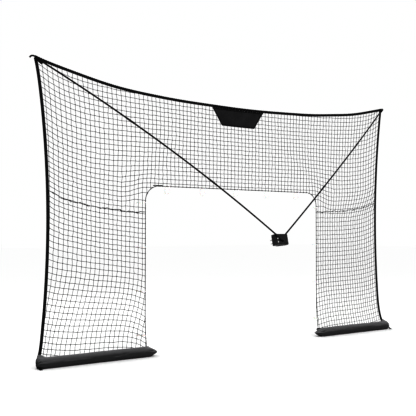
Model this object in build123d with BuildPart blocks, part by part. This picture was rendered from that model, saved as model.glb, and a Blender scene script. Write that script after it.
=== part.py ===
"""Backstop net for a hockey goal: mesh panels, weighted floor sleeves, two bowed poles and a hub clamp.

Millimetres. X runs along the net, +Y faces the player, +Z is up. The origin is on the floor, in the
net's plane, at the middle of the goal opening.
"""
import os
from math import asin, cos, radians, sin, tan

from build123d import *

# ---------------------------------------------------------------- driving dimensions
# net outline
HALF_WIDTH = 1838.0  # top corners, from the middle
CORNER_HEIGHT = 2136.0
TOP_SAG = 174.0  # the top border hangs this much lower at the middle
FOOT_HALF_WIDTH = 1805.0  # side borders, where they meet the sleeves
SIDE_BOW = 78.0  # side borders curve inwards by this much
NET_THICKNESS = 1.2
BORDER_WIDTH = 22.0
BORDER_THICKNESS = 7.0
BEND_HEIGHT = 300.0  # below this the net curves back to the sleeves

# goal opening
OPENING_HALF_WIDTH = 922.0
OPENING_HEIGHT = 1280.0
OPENING_CORNER = 120.0
CORD_RADIUS = 2.4

# laced seams
SEAM_INNER_HEIGHT = 1085.0
SEAM_MIDDLE = (1380.0, 1118.0)
SEAM_OUTER_HEIGHT = 1228.0
SEAM_WIDTH = 7.0
SEAM_THICKNESS = 5.0

# patch at the middle of the top border
PATCH_TOP_WIDTH = 550.0
PATCH_BOTTOM_WIDTH = 350.0
PATCH_HEIGHT = 140.0
PATCH_THICKNESS = 2.0

# floor sleeves
SLEEVE_RADIUS = 44.0
SLEEVE_Y = -55.0
SLEEVE_AXIS_HEIGHT = 31.0  # less than the radius, so each sleeve lies on a flat
SLEEVE_TIP_X = 852.0
SLEEVE_FULL_X = 950.0  # the taper from the tip ends here
SLEEVE_OPEN_X = 1810.0
SLEEVE_END_X = 1842.0
SLEEVE_WALL = 10.0
SAND_START_X = 985.0
SAND_END_X = 1804.0

# poles
POLE_RADIUS = 5.5
CHANNEL_CLEARANCE = 0.3
POLE_TRAVEL = 50.0  # how far a pole slides down through the hub to free its tip
FERRULE_RADIUS = 6.7
FERRULE_LENGTH = 74.0
TIP_RADIUS = 6.6
TIP_LENGTH = 26.0
TIP_WALL = 2.0
POLE_TIP = (1826.0, -17.0, 2120.0)  # far end of the right pole's cap, in its pocket
POCKET_DEPTH = 45.0
POCKET_WALL = 2.0
POCKET_ROOM = 1.6
POCKET_END_GAP = 3.0

# hub, clamped on the goal's rear centre bar
BAR_RADIUS = 19.0
BAR_LEAN = 12.5  # degrees from upright, top towards the net
HUB_CENTRE = (0.0, -480.8, 862.8)  # on the bar's axis
HUB_WIDTH = 135.0
HUB_HEIGHT = 85.0
LINER_THICKNESS = 2.0
CLAMP_GAP = 4.0  # slit between body and jaw
BODY_BACK = 35.0  # distances behind the bar's axis
COVER_BACK = 39.0
LEFT_POLE_DEPTH = 43.0
RIGHT_POLE_DEPTH = 28.5
POLE_RISE = 37.0  # degrees above level, across the hub's face
POLE_EXIT = (54.0, 37.5)  # a point on the right pole's line, across the hub's face
POLE_INSIDE = 85.0  # length of pole inside the hub, from that point
RIDGE_RADIUS = 8.6
JAW_FLANGE = 12.0
JAW_LEFT = -54.0  # the jaw stops just past the bolts
JAW_RADIUS = 26.0
HINGE_X = 61.0
KNUCKLE_RADIUS = 6.0
KNUCKLE_HALF = 13.6
HINGE_PIN_RADIUS = 2.5
RUNNING_CLEARANCE = 0.06
BOLT_X = -42.0
BOLT_HEIGHTS = (7.0, -20.0)
BOLT_RADIUS = 4.0
BOLT_END = -41.0
BOLT_HEAD_RADIUS = 7.5
BOLT_HEAD_HEIGHT = 5.3
WASHER_RADIUS = 10.0
WASHER_THICKNESS = 1.6
NUT_RADIUS = 6.5
NUT_HEIGHT = 7.0
WING_REACH = 12.8
COVER_SCREWS = ((0.0, 33.0), (58.0, 6.0), (0.0, -36.0), (-59.0, -6.0))
LOCK_RADIUS = 2.5
LOCK_ALONG = 30.0  # distance of each lock screw down its channel from POLE_EXIT

# cable ties round the goal's 60 mm tubes
POST_RADIUS = 30.0
POST_X = 945.0
TUBE_Y = 33.0
CROSSBAR_HEIGHT = 1250.0
TIE_WIDTH = 4.8
TIE_THICKNESS = 1.4
TIE_CLEARANCE = 0.15
TIE_CORD_ROOM = 1.0
POST_TIE_HEIGHTS = (150.0, 480.0, 815.0, 1150.0)
CROSSBAR_TIE_XS = (-700.0, -350.0, 0.0, 350.0, 700.0)

os.makedirs("parts", exist_ok=True)


def save(part, name):
    """Label a finished piece and write it as one STEP."""
    part.label = name
    export_step(part, f"parts/{name}.step")


# ---------------------------------------------------------------- outlines in the net's plane
side_mid_height = (CORNER_HEIGHT + SLEEVE_AXIS_HEIGHT) / 2
side_mid_x = (HALF_WIDTH + FOOT_HALF_WIDTH) / 2 - SIDE_BOW
seam_outer_x = side_mid_x - BORDER_WIDTH
top_mid_height = CORNER_HEIGHT - TOP_SAG
BELOW = 20.0  # outlines start here; the hung profile ends higher


def top_arc(drop):
    """The top border's curve, lowered by drop, as three points."""
    return (
        (-HALF_WIDTH, CORNER_HEIGHT - drop),
        (0, top_mid_height - drop),
        (HALF_WIDTH, CORNER_HEIGHT - drop),
    )


def side_arc(side, inset):
    """A side border's curve from the top down, moved inwards by inset, as three points."""
    return (
        (side * (HALF_WIDTH - inset), CORNER_HEIGHT),
        (side * (side_mid_x - inset), side_mid_height),
        (side * (FOOT_HALF_WIDTH - inset), BELOW),
    )


def seam_arc(side, raise_by):
    """A laced seam's curve from the opening outwards, as three points."""
    return (
        (side * OPENING_HALF_WIDTH, SEAM_INNER_HEIGHT + raise_by),
        (side * SEAM_MIDDLE[0], SEAM_MIDDLE[1] + raise_by),
        (side * HALF_WIDTH, SEAM_OUTER_HEIGHT + raise_by),
    )


def below_top(drop):
    """Everything under the top curve lowered by drop."""
    left, middle, right = top_arc(drop)
    with BuildSketch() as region:
        with BuildLine():
            ThreePointArc(left, middle, right)
            Polyline(right, (HALF_WIDTH, BELOW), (-HALF_WIDTH, BELOW), left)
        make_face()
    return region.sketch


def between_sides(inset):
    """Everything between the side curves moved inwards by inset."""
    left = side_arc(-1, inset)
    right = side_arc(1, inset)
    with BuildSketch() as region:
        with BuildLine():
            ThreePointArc(*left)
            Line(left[2], right[2])
            ThreePointArc(*right)
            Line(right[0], left[0])
        make_face()
    return region.sketch


def goal_opening(margin):
    """The goal opening, grown by margin, open at the floor."""
    width = 2 * (OPENING_HALF_WIDTH + margin)
    height = OPENING_HEIGHT + margin
    with BuildSketch() as region:
        with Locations((0, height / 2)):
            Rectangle(width, height)
        fillet(region.vertices().group_by(Axis.Y)[-1], OPENING_CORNER + margin)
    return region.sketch


def under_seam(side, raise_by):
    """Everything on one side of the net under its seam's curve."""
    start, middle, end = seam_arc(side, raise_by)
    with BuildSketch() as region:
        with BuildLine():
            ThreePointArc(start, middle, end)
            Polyline(end, (end[0], BELOW), (start[0], BELOW), start)
        make_face()
    return region.sketch


def tie_slots():
    """Small windows in the mesh where the cable ties pass through it."""
    reach = POST_RADIUS + TIE_THICKNESS + 2
    with BuildSketch() as windows:
        for height in POST_TIE_HEIGHTS:
            with Locations((-POST_X, height), (POST_X, height)):
                Rectangle(2 * reach, TIE_WIDTH + 4)
        for x in CROSSBAR_TIE_XS:
            with Locations((x, CROSSBAR_HEIGHT + POST_RADIUS)):
                Rectangle(TIE_WIDTH + 4, 2 * reach)
    return windows.sketch


# The hung profile, seen from the side: upright, then curving back to the front of the sleeves.
REST_ANGLE = radians(40.0)
REST_GAP = 2.5
rest_point = (
    SLEEVE_Y + (SLEEVE_RADIUS + REST_GAP) * cos(REST_ANGLE),
    SLEEVE_AXIS_HEIGHT + (SLEEVE_RADIUS + REST_GAP) * sin(REST_ANGLE),
)
bend_radius = (rest_point[0] ** 2 + (BEND_HEIGHT - rest_point[1]) ** 2) / (-2 * rest_point[0])
bend_turn = asin((BEND_HEIGHT - rest_point[1]) / bend_radius)
bend_middle = (
    -bend_radius * (1 - cos(bend_turn / 2)),
    BEND_HEIGHT - bend_radius * sin(bend_turn / 2),
)


def hung(outline, thickness):
    """A sheet of the outline, as thick as stated, that follows the hung profile."""
    with BuildPart() as sheet:
        with BuildSketch(Plane.YZ):
            with BuildLine():
                Line((0, CORNER_HEIGHT + BORDER_WIDTH), (0, BEND_HEIGHT))
                ThreePointArc((0, BEND_HEIGHT), bend_middle, rest_point)
            trace(line_width=thickness)
        extrude(amount=HALF_WIDTH + BORDER_WIDTH, both=True)
        with BuildSketch(Plane.XZ):
            add(outline)
        extrude(amount=-2 * rest_point[0], both=True, mode=Mode.INTERSECT)
    return sheet.part


# ---------------------------------------------------------------- mesh panels
CORD_ROOM = CORD_RADIUS + 0.4
half_seam = SEAM_WIDTH / 2

with BuildSketch() as upper_outline:
    add(below_top(BORDER_WIDTH))
    add(between_sides(BORDER_WIDTH), mode=Mode.INTERSECT)
    for side in (-1, 1):
        add(under_seam(side, half_seam), mode=Mode.SUBTRACT)
    add(goal_opening(CORD_ROOM), mode=Mode.SUBTRACT)
    add(tie_slots(), mode=Mode.SUBTRACT)
save(hung(upper_outline.sketch, NET_THICKNESS), "upper_net")

for side, name in ((-1, "left_lower_net"), (1, "right_lower_net")):
    with BuildSketch() as lower_outline:
        add(under_seam(side, -half_seam))
        add(between_sides(BORDER_WIDTH), mode=Mode.INTERSECT)
        add(goal_opening(CORD_ROOM), mode=Mode.SUBTRACT)
        add(tie_slots(), mode=Mode.SUBTRACT)
    save(hung(lower_outline.sketch, NET_THICKNESS), name)

# ---------------------------------------------------------------- seams, borders and patch
for side, name in ((-1, "left_seam_lacing"), (1, "right_seam_lacing")):
    with BuildSketch() as seam_outline:
        add(under_seam(side, half_seam))
        add(under_seam(side, -half_seam), mode=Mode.SUBTRACT)
        add(between_sides(BORDER_WIDTH), mode=Mode.INTERSECT)
        add(goal_opening(CORD_ROOM), mode=Mode.SUBTRACT)
    save(hung(seam_outline.sketch, SEAM_THICKNESS), name)

with BuildSketch() as top_outline:
    add(below_top(0))
    add(below_top(BORDER_WIDTH), mode=Mode.SUBTRACT)
save(hung(top_outline.sketch, BORDER_THICKNESS), "top_border")

for side, name in ((-1, "left_border"), (1, "right_border")):
    with BuildSketch() as side_outline:
        add(between_sides(0))
        add(between_sides(BORDER_WIDTH), mode=Mode.SUBTRACT)
        add(below_top(BORDER_WIDTH), mode=Mode.INTERSECT)
        with Locations((-side * HALF_WIDTH, CORNER_HEIGHT / 2)):
            Rectangle(2 * HALF_WIDTH, 2 * CORNER_HEIGHT, mode=Mode.SUBTRACT)
    save(hung(side_outline.sketch, BORDER_THICKNESS), name)

patch_plane = Plane.XZ.offset(NET_THICKNESS / 2 + 0.3)
patch_top = top_mid_height - BORDER_WIDTH - 1
with BuildPart() as top_patch:
    with BuildSketch(patch_plane):
        with BuildLine():
            Polyline(
                (-PATCH_TOP_WIDTH / 2, patch_top),
                (-PATCH_BOTTOM_WIDTH / 2, patch_top - PATCH_HEIGHT),
                (PATCH_BOTTOM_WIDTH / 2, patch_top - PATCH_HEIGHT),
                (PATCH_TOP_WIDTH / 2, patch_top),
                close=True,
            )
        make_face()
    extrude(amount=PATCH_THICKNESS)
save(top_patch.part, "top_patch")

# the cord round the opening follows the hung profile down to the sleeves
cord_bend = Vector(0, *bend_middle)
cord_foot = Vector(0, *rest_point)
left_edge = Vector(-OPENING_HALF_WIDTH, 0, 0)
right_edge = Vector(OPENING_HALF_WIDTH, 0, 0)
corner_start = Vector(0, 0, OPENING_HEIGHT - OPENING_CORNER)
corner_in = Vector(OPENING_CORNER, 0, 0)
level = Vector(0, 0, OPENING_HEIGHT)
bend_start = Vector(0, 0, BEND_HEIGHT)
with BuildPart() as opening_cord:
    with BuildLine() as cord_path:
        ThreePointArc(left_edge + cord_foot, left_edge + cord_bend, left_edge + bend_start)
        Line(left_edge + bend_start, left_edge + corner_start)
        TangentArc(left_edge + corner_start, left_edge + corner_in + level, tangent=(0, 0, 1))
        Line(left_edge + corner_in + level, right_edge - corner_in + level)
        TangentArc(right_edge - corner_in + level, right_edge + corner_start, tangent=(1, 0, 0))
        Line(right_edge + corner_start, right_edge + bend_start)
        ThreePointArc(right_edge + bend_start, right_edge + cord_bend, right_edge + cord_foot)
    with BuildSketch(Plane(origin=cord_path.line @ 0, z_dir=cord_path.line % 0)):
        Circle(CORD_RADIUS)
    sweep()
save(opening_cord.part, "opening_cord")

# ---------------------------------------------------------------- floor sleeves
SLEEVE_TIP_SIZE = (34.0, 8.0)
SLEEVE_TIP_HEIGHT = 32.0
SLEEVE_CAP_SHRINK = 12.0
TAB_SIZE = (16.0, 26.0, 3.0)
sand_radius = SLEEVE_RADIUS - SLEEVE_WALL - 0.5
sand_height = SLEEVE_AXIS_HEIGHT + 7.0


def sleeve_plane(x, side):
    """A plane across a sleeve, looking outwards, centred on the sleeve's axis."""
    return Plane(origin=(side * x, SLEEVE_Y, 0), x_dir=(0, side, 0), z_dir=(side, 0, 0))


def sleeve_section(shrink):
    """The sleeve's section: a circle with its underside cut flat at the floor."""
    with BuildSketch() as section:
        with Locations((0, SLEEVE_AXIS_HEIGHT)):
            Circle(SLEEVE_RADIUS - shrink)
        with Locations((0, -SLEEVE_RADIUS)):
            Rectangle(4 * SLEEVE_RADIUS, 2 * SLEEVE_RADIUS, mode=Mode.SUBTRACT)
    return section.sketch


for side, name in ((-1, "left"), (1, "right")):
    with BuildPart() as cover:
        with BuildSketch(sleeve_plane(SLEEVE_FULL_X, side)):
            add(sleeve_section(0))
        extrude(amount=SLEEVE_OPEN_X - SLEEVE_FULL_X)
        with BuildSketch(sleeve_plane(SLEEVE_FULL_X, side)):
            with Locations((0, SLEEVE_AXIS_HEIGHT)):
                Circle(SLEEVE_AXIS_HEIGHT)
        with BuildSketch(sleeve_plane(SLEEVE_TIP_X, side)):
            with Locations((0, SLEEVE_TIP_HEIGHT)):
                Ellipse(SLEEVE_TIP_SIZE[0], SLEEVE_TIP_SIZE[1] / 2)
        loft()
        with BuildSketch(sleeve_plane(SAND_START_X - 1, side)):
            with Locations((0, sand_height)):
                Circle(SLEEVE_RADIUS - SLEEVE_WALL)
        extrude(amount=SLEEVE_OPEN_X - SAND_START_X + 1, mode=Mode.SUBTRACT)
    save(cover.part, f"{name}_sleeve_cover")

    with BuildPart() as bag:
        with BuildSketch(sleeve_plane(SAND_START_X, side)):
            with Locations((0, sand_height)):
                Circle(sand_radius)
        extrude(amount=SAND_END_X - SAND_START_X)
        fillet(bag.edges().filter_by(GeomType.CIRCLE), 12)
    save(bag.part, f"{name}_sand_bag")

    with BuildPart() as flap:
        with BuildSketch(sleeve_plane(SLEEVE_OPEN_X, side)):
            with Locations((0, SLEEVE_AXIS_HEIGHT)):
                Circle(SLEEVE_AXIS_HEIGHT)
        with BuildSketch(sleeve_plane(SLEEVE_END_X, side)):
            with Locations((0, SLEEVE_AXIS_HEIGHT)):
                Circle(SLEEVE_AXIS_HEIGHT - SLEEVE_CAP_SHRINK)
        loft()
    save(flap.part, f"{name}_sleeve_flap")

    with BuildPart() as tab:
        with Locations((side * (SLEEVE_END_X + TAB_SIZE[0] / 2), SLEEVE_Y, SLEEVE_AXIS_HEIGHT)):
            Box(*TAB_SIZE)
        fillet(tab.edges().filter_by(Axis.Z).sort_by(Axis.X)[-2 if side > 0 else 0:][:2], 5)
    save(tab.part, f"{name}_sleeve_tab")

# ---------------------------------------------------------------- hub frame and pole routes
lean = radians(BAR_LEAN)
hub_rear = Vector(0, -cos(lean), sin(lean))
hub_up = Vector(0, sin(lean), cos(lean))
hub_origin = Vector(*HUB_CENTRE)


def hub_plane(back=0.0):
    """The hub's face plane, back behind the bar's axis: x across, y up the bar, z rearwards."""
    return Plane(origin=hub_origin + hub_rear * back, x_dir=(1, 0, 0), z_dir=hub_rear)


def hub_cross_plane(up=0.0):
    """A plane square to the bar: x across, y to the front, z up the bar."""
    return Plane(origin=hub_origin + hub_up * up, x_dir=(1, 0, 0), z_dir=hub_up)


def pole_line(side):
    """A pole's entry point and direction in the hub, in world terms."""
    depth = LEFT_POLE_DEPTH if side < 0 else RIGHT_POLE_DEPTH
    entry = hub_plane(depth).from_local_coords(Vector(side * POLE_EXIT[0], POLE_EXIT[1], 0))
    rise = radians(POLE_RISE)
    direction = Vector(side * cos(rise), 0, 0) + hub_up * sin(rise)
    return entry, direction


def pole_route(side):
    """A pole's wire from its inner end to its tip, the distances where it bends, and its two ends."""
    entry, direction = pole_line(side)
    tip = Vector(side * POLE_TIP[0], POLE_TIP[1], POLE_TIP[2])
    start = entry - direction * POLE_INSIDE
    bend_from = entry + direction * (POLE_TRAVEL + 10)
    straight_end = POCKET_DEPTH + 5
    chord = tip - bend_from
    tangent = (chord.dot(chord) - straight_end**2) / (2 * (chord.dot(direction) + straight_end))
    corner = bend_from + direction * tangent
    outwards = (tip - corner).normalized()
    turn = radians(direction.get_angle(outwards))
    with BuildLine() as route:
        FilletPolyline(start, corner, tip, radius=tangent / tan(turn / 2))
    wire = route.wire()
    first_bend = POLE_INSIDE + POLE_TRAVEL + 10
    last_bend = wire.length - straight_end
    return wire, first_bend, last_bend, direction, outwards, tip


def rod_section(route, start, end, radius, bore=0.0):
    """A length of rod, or of tube, along a pole's route, between two distances from its inner end."""
    wire, first_bend, last_bend = route[:3]
    length = wire.length
    arc_start = max(start, first_bend)
    arc_end = min(end, last_bend)
    with BuildPart() as rod:
        with BuildLine() as path:
            if start < first_bend:
                Line(wire @ (start / length), wire @ (first_bend / length))
            arc_middle = (arc_start + arc_end) / 2
            ThreePointArc(*[wire @ (s / length) for s in (arc_start, arc_middle, arc_end)])
            if end > last_bend:
                Line(wire @ (last_bend / length), wire @ (end / length))
        with BuildSketch(Plane(origin=path.line @ 0, z_dir=path.line % 0)):
            Circle(radius)
            if bore:
                Circle(bore, mode=Mode.SUBTRACT)
        sweep()
    return rod.part


# ---------------------------------------------------------------- poles and corner pockets
def pocket_section(width, height, shift):
    """A rounded rectangle across a pocket, shifted towards the net."""
    with BuildSketch() as section:
        with Locations((shift, 0)):
            RectangleRounded(width, height, 4)
    return section.sketch


for side, name in ((-1, "left"), (1, "right")):
    route = pole_route(side)
    wire, first_bend, last_bend, inwards, outwards, tip = route
    rod_end = wire.length - TIP_WALL
    joint_one = rod_end / 3
    joint_two = 2 * rod_end / 3
    save(rod_section(route, 0, joint_one, POLE_RADIUS), f"{name}_pole_lower")
    save(rod_section(route, joint_one, joint_two, POLE_RADIUS), f"{name}_pole_middle")
    save(rod_section(route, joint_two, rod_end, POLE_RADIUS), f"{name}_pole_upper")

    with BuildPart() as ferrules:
        for joint in (joint_one, joint_two):
            half = FERRULE_LENGTH / 2
            add(rod_section(route, joint - half, joint + half, FERRULE_RADIUS, POLE_RADIUS + 0.05))
    save(ferrules.part, f"{name}_pole_ferrules")

    tip_plane = Plane(origin=tip, x_dir=(inwards - outwards).cross(outwards), z_dir=outwards)
    with BuildPart() as cap:
        with BuildSketch(tip_plane):
            Circle(TIP_RADIUS)
        extrude(amount=-TIP_LENGTH)
        fillet(cap.faces().sort_by(Axis(tip, outwards))[-1].edges(), 2.5)
        with BuildSketch(tip_plane.offset(-TIP_WALL)):
            Circle(POLE_RADIUS)
        extrude(amount=-TIP_LENGTH, mode=Mode.SUBTRACT)
    save(cap.part, f"{name}_pole_tip")

    # each pocket widens towards its mouth on the side that the tip swings to as the pole slides out
    swing = (outwards - inwards - outwards * (1 - inwards.dot(outwards))).normalized()
    pocket_plane = Plane(origin=tip, x_dir=swing, z_dir=outwards)
    room = 2 * (TIP_RADIUS + POCKET_ROOM)
    widening = POCKET_DEPTH * tan(radians(inwards.get_angle(outwards)))
    wall = 2 * POCKET_WALL
    with BuildPart() as pocket:
        with BuildSketch(pocket_plane.offset(POCKET_END_GAP + POCKET_WALL)):
            add(pocket_section(room + wall, room + wall, 0))
        with BuildSketch(pocket_plane.offset(-POCKET_DEPTH)):
            add(pocket_section(room + wall + widening, room + wall, widening / 2))
        loft()
        with BuildSketch(pocket_plane.offset(POCKET_END_GAP)):
            add(pocket_section(room, room, 0))
        with BuildSketch(pocket_plane.offset(-POCKET_DEPTH - 1)):
            add(pocket_section(room + widening, room, widening / 2))
        loft(mode=Mode.SUBTRACT)
    save(pocket.part, f"{name}_corner_pocket")
    print(name, "pole", round(wire.length), "mm, bend", round(inwards.get_angle(outwards), 1), "degrees")
    print("it slides along", [round(-c, 6) for c in inwards])

TAIL_SIZE = (32.0, 3.0, 14.0)
with BuildPart() as tail:
    with Locations((-HALF_WIDTH - TAIL_SIZE[0] / 2, 0, CORNER_HEIGHT - BORDER_WIDTH / 2)):
        Box(*TAIL_SIZE)
    fillet(tail.edges().filter_by(Axis.Y).group_by(Axis.X)[0], 4)
save(tail.part, "left_corner_tail")

# ---------------------------------------------------------------- hub body and cover
EDGE_FILLET = 4.0
HEX_BOLT_CLEARANCE = 0.3
LOCK_DEPTH_GAP = 0.4
LOCK_SOCKET = 1.3
SCREW_RADIUS = 1.8
SCREW_HEAD_RADIUS = 3.6
SCREW_HEAD_HEIGHT = 2.2
SCREW_DEPTH = 12.0
recess_radius = BAR_RADIUS + LINER_THICKNESS
channel_radius = POLE_RADIUS + CHANNEL_CLEARANCE
half_gap = CLAMP_GAP / 2
body_thickness = BODY_BACK - half_gap


def channel_plane(side, along=0.0):
    """A plane across a pole's channel, along from the pole's entry point towards its inner end."""
    entry, direction = pole_line(side)
    return Plane(origin=entry - direction * along, x_dir=hub_rear, z_dir=-direction)


def knuckle(up_from, up_to, radius):
    """A cylinder on the hinge's axis between two heights up the bar."""
    with BuildPart() as cylinder:
        with BuildSketch(hub_cross_plane(up_from)):
            with Locations((HINGE_X, 0)):
                Circle(radius)
        extrude(amount=up_to - up_from)
    return cylinder.part


KNUCKLE_END = 34.0
KNUCKLE_GAP = 0.4
hub_half = HUB_HEIGHT / 2
hinge_side_room = HINGE_X - KNUCKLE_RADIUS - 1
with BuildPart() as hub_body:
    with BuildSketch(hub_plane(half_gap)):
        RectangleRounded(HUB_WIDTH, HUB_HEIGHT, 2 * EDGE_FILLET)
    extrude(amount=body_thickness)
    # room for the jaw's knuckle, then the body's own two knuckles
    add(knuckle(-KNUCKLE_HALF - KNUCKLE_GAP, KNUCKLE_HALF + KNUCKLE_GAP, KNUCKLE_RADIUS + 0.6),
        mode=Mode.SUBTRACT)
    for low in (-KNUCKLE_END, KNUCKLE_HALF + KNUCKLE_GAP):
        high = low + KNUCKLE_END - KNUCKLE_HALF - KNUCKLE_GAP
        add(knuckle(low, high, KNUCKLE_RADIUS))
    add(knuckle(-hub_half, hub_half, HINGE_PIN_RADIUS), mode=Mode.SUBTRACT)
    with BuildSketch(hub_cross_plane(-hub_half)):
        Circle(recess_radius)
    extrude(amount=HUB_HEIGHT, mode=Mode.SUBTRACT)
    with BuildSketch(channel_plane(1, -40)):
        Circle(channel_radius)
    extrude(amount=240, mode=Mode.SUBTRACT)
    with BuildSketch(hub_plane(0)):
        with Locations(*[(BOLT_X, height) for height in BOLT_HEIGHTS]):
            Circle(BOLT_RADIUS + HEX_BOLT_CLEARANCE)
    extrude(amount=BODY_BACK, mode=Mode.SUBTRACT)
    with BuildSketch(hub_plane(BODY_BACK)):
        with Locations(*COVER_SCREWS):
            Circle(SCREW_RADIUS)
    extrude(amount=-(SCREW_DEPTH - COVER_BACK + BODY_BACK), mode=Mode.SUBTRACT)
    # the right pole's lock screw comes down from the top face
    right_lock_entry, right_lock_direction = pole_line(1)
    right_lock_seat = right_lock_entry - right_lock_direction * LOCK_ALONG
    lock_plane_right = Plane(origin=right_lock_seat, x_dir=(1, 0, 0), z_dir=hub_up)
    with BuildSketch(lock_plane_right):
        Circle(LOCK_RADIUS + RUNNING_CLEARANCE)
    extrude(amount=HUB_HEIGHT, mode=Mode.SUBTRACT)
save(hub_body.part, "hub_body")

RIDGE_END = 72.0  # the ridge stops here, along the channel; an open groove runs on
BOSS_RADIUS = 6.5
BOSS_BACK = 56.0
left_entry, left_direction = pole_line(-1)
left_lock_seat = left_entry - left_direction * LOCK_ALONG
lock_plane_left = Plane(origin=left_lock_seat, x_dir=(1, 0, 0), z_dir=hub_rear)
with BuildPart() as hub_cover:
    with BuildSketch(channel_plane(-1, -8)):
        Circle(RIDGE_RADIUS)
    extrude(amount=RIDGE_END + 8)
    with BuildSketch(lock_plane_left):
        Circle(BOSS_RADIUS)
    extrude(amount=BOSS_BACK - LEFT_POLE_DEPTH)
    with BuildSketch(hub_plane(BODY_BACK)):
        RectangleRounded(HUB_WIDTH + 20, HUB_HEIGHT, 2 * EDGE_FILLET)
    extrude(amount=40, mode=Mode.INTERSECT)
    with BuildSketch(hub_plane(BODY_BACK)):
        RectangleRounded(HUB_WIDTH, HUB_HEIGHT, 2 * EDGE_FILLET)
    extrude(amount=COVER_BACK - BODY_BACK)
    with BuildSketch(channel_plane(-1, -60)):
        Circle(channel_radius)
    extrude(amount=260, mode=Mode.SUBTRACT)
    with BuildSketch(lock_plane_left):
        Circle(LOCK_RADIUS + RUNNING_CLEARANCE)
    extrude(amount=40, mode=Mode.SUBTRACT)
    with BuildSketch(hub_plane(BODY_BACK)):
        with Locations(*[(BOLT_X, height) for height in BOLT_HEIGHTS]):
            Circle(BOLT_RADIUS + HEX_BOLT_CLEARANCE)
        with Locations(*COVER_SCREWS):
            Circle(SCREW_RADIUS)
    extrude(amount=40, mode=Mode.SUBTRACT)
save(hub_cover.part, "hub_cover")

# ---------------------------------------------------------------- clamp jaw, liners and hinge pin
jaw_right = HINGE_X - KNUCKLE_RADIUS - 1.2
SLOT_HALF = BOLT_RADIUS + 0.5
with BuildPart() as hub_jaw:
    with BuildSketch(hub_plane(-half_gap)):
        with Locations(((JAW_LEFT + jaw_right) / 2, 0)):
            RectangleRounded(jaw_right - JAW_LEFT, HUB_HEIGHT - 1, EDGE_FILLET)
    extrude(amount=-(JAW_FLANGE - half_gap))
    with BuildSketch(hub_cross_plane(-hub_half + 0.5)):
        Circle(JAW_RADIUS)
        with Locations((0, half_gap - JAW_RADIUS)):
            Rectangle(2 * JAW_RADIUS, 2 * JAW_RADIUS, mode=Mode.SUBTRACT)
    extrude(amount=HUB_HEIGHT - 1)
    with BuildSketch(hub_cross_plane(-KNUCKLE_HALF)):
        with Locations(((jaw_right - 4 + HINGE_X) / 2, (JAW_FLANGE + half_gap) / 2)):
            Rectangle(HINGE_X - jaw_right + 4, JAW_FLANGE - half_gap)
    extrude(amount=2 * KNUCKLE_HALF)
    add(knuckle(-KNUCKLE_HALF, KNUCKLE_HALF, KNUCKLE_RADIUS))
    add(knuckle(-KNUCKLE_HALF, KNUCKLE_HALF, HINGE_PIN_RADIUS + RUNNING_CLEARANCE), mode=Mode.SUBTRACT)
    with BuildSketch(hub_cross_plane(-hub_half)):
        Circle(recess_radius)
    extrude(amount=HUB_HEIGHT, mode=Mode.SUBTRACT)
    with BuildSketch(hub_plane(0)):
        for height in BOLT_HEIGHTS:
            with Locations((BOLT_X, height)):
                Circle(SLOT_HALF)
            with Locations((BOLT_X - 50, height)):
                Rectangle(100, 2 * SLOT_HALF)
    extrude(amount=-2 * JAW_FLANGE, mode=Mode.SUBTRACT)
save(hub_jaw.part, "hub_jaw")

for facing, name in ((-1, "hub_liner"), (1, "jaw_liner")):
    with BuildPart() as liner:
        with BuildSketch(hub_cross_plane(-hub_half + 2.5)):
            Circle(recess_radius)
            Circle(BAR_RADIUS, mode=Mode.SUBTRACT)
            with Locations((0, -facing * (recess_radius - half_gap))):
                Rectangle(3 * recess_radius, 2 * recess_radius, mode=Mode.SUBTRACT)
        extrude(amount=HUB_HEIGHT - 5)
    save(liner.part, name)

save(knuckle(-KNUCKLE_END - 1, KNUCKLE_END + 1, HINGE_PIN_RADIUS), "hinge_pin")

# ---------------------------------------------------------------- clamp bolts, washers and wing nuts
with BuildPart() as clamp_bolts:
    with BuildSketch(hub_plane(COVER_BACK)):
        with Locations(*[(BOLT_X, height) for height in BOLT_HEIGHTS]):
            RegularPolygon(BOLT_HEAD_RADIUS, 6)
    extrude(amount=BOLT_HEAD_HEIGHT)
    with BuildSketch(hub_plane(BOLT_END)):
        with Locations(*[(BOLT_X, height) for height in BOLT_HEIGHTS]):
            Circle(BOLT_RADIUS)
    extrude(amount=COVER_BACK - BOLT_END)
save(clamp_bolts.part, "clamp_bolts")

with BuildPart() as clamp_washers:
    with BuildSketch(hub_plane(-JAW_FLANGE)):
        with Locations(*[(BOLT_X, height) for height in BOLT_HEIGHTS]):
            Circle(WASHER_RADIUS)
            Circle(BOLT_RADIUS + HEX_BOLT_CLEARANCE, mode=Mode.SUBTRACT)
    extrude(amount=-WASHER_THICKNESS)
save(clamp_washers.part, "clamp_washers")

WING_THICKNESS = 2.5
WING_HEIGHT = 12.0
nut_seat = -JAW_FLANGE - WASHER_THICKNESS
for height, name in zip(BOLT_HEIGHTS, ("upper_wing_nut", "lower_wing_nut")):
    with BuildPart() as wing_nut:
        with BuildSketch(hub_plane(nut_seat)):
            with Locations((BOLT_X, height)):
                Circle(NUT_RADIUS)
        extrude(amount=-NUT_HEIGHT)
        with BuildSketch(hub_cross_plane(height - WING_THICKNESS / 2)):
            for wing in (-1, 1):
                with BuildLine():
                    Polyline(
                        (BOLT_X + wing * 4.5, 1 - nut_seat),
                        (BOLT_X + wing * WING_REACH, 5 - nut_seat),
                        (BOLT_X + wing * (WING_REACH - 1.5), WING_HEIGHT - nut_seat),
                        (BOLT_X + wing * (WING_REACH - 5), WING_HEIGHT - 1 - nut_seat),
                        (BOLT_X + wing * 4.5, NUT_HEIGHT - 1 - nut_seat),
                        close=True,
                    )
                make_face()
        extrude(amount=WING_THICKNESS)
        with BuildSketch(hub_plane(nut_seat)):
            with Locations((BOLT_X, height)):
                Circle(BOLT_RADIUS + RUNNING_CLEARANCE)
        extrude(amount=-2 * WING_HEIGHT, mode=Mode.SUBTRACT)
    save(wing_nut.part, name)

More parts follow.
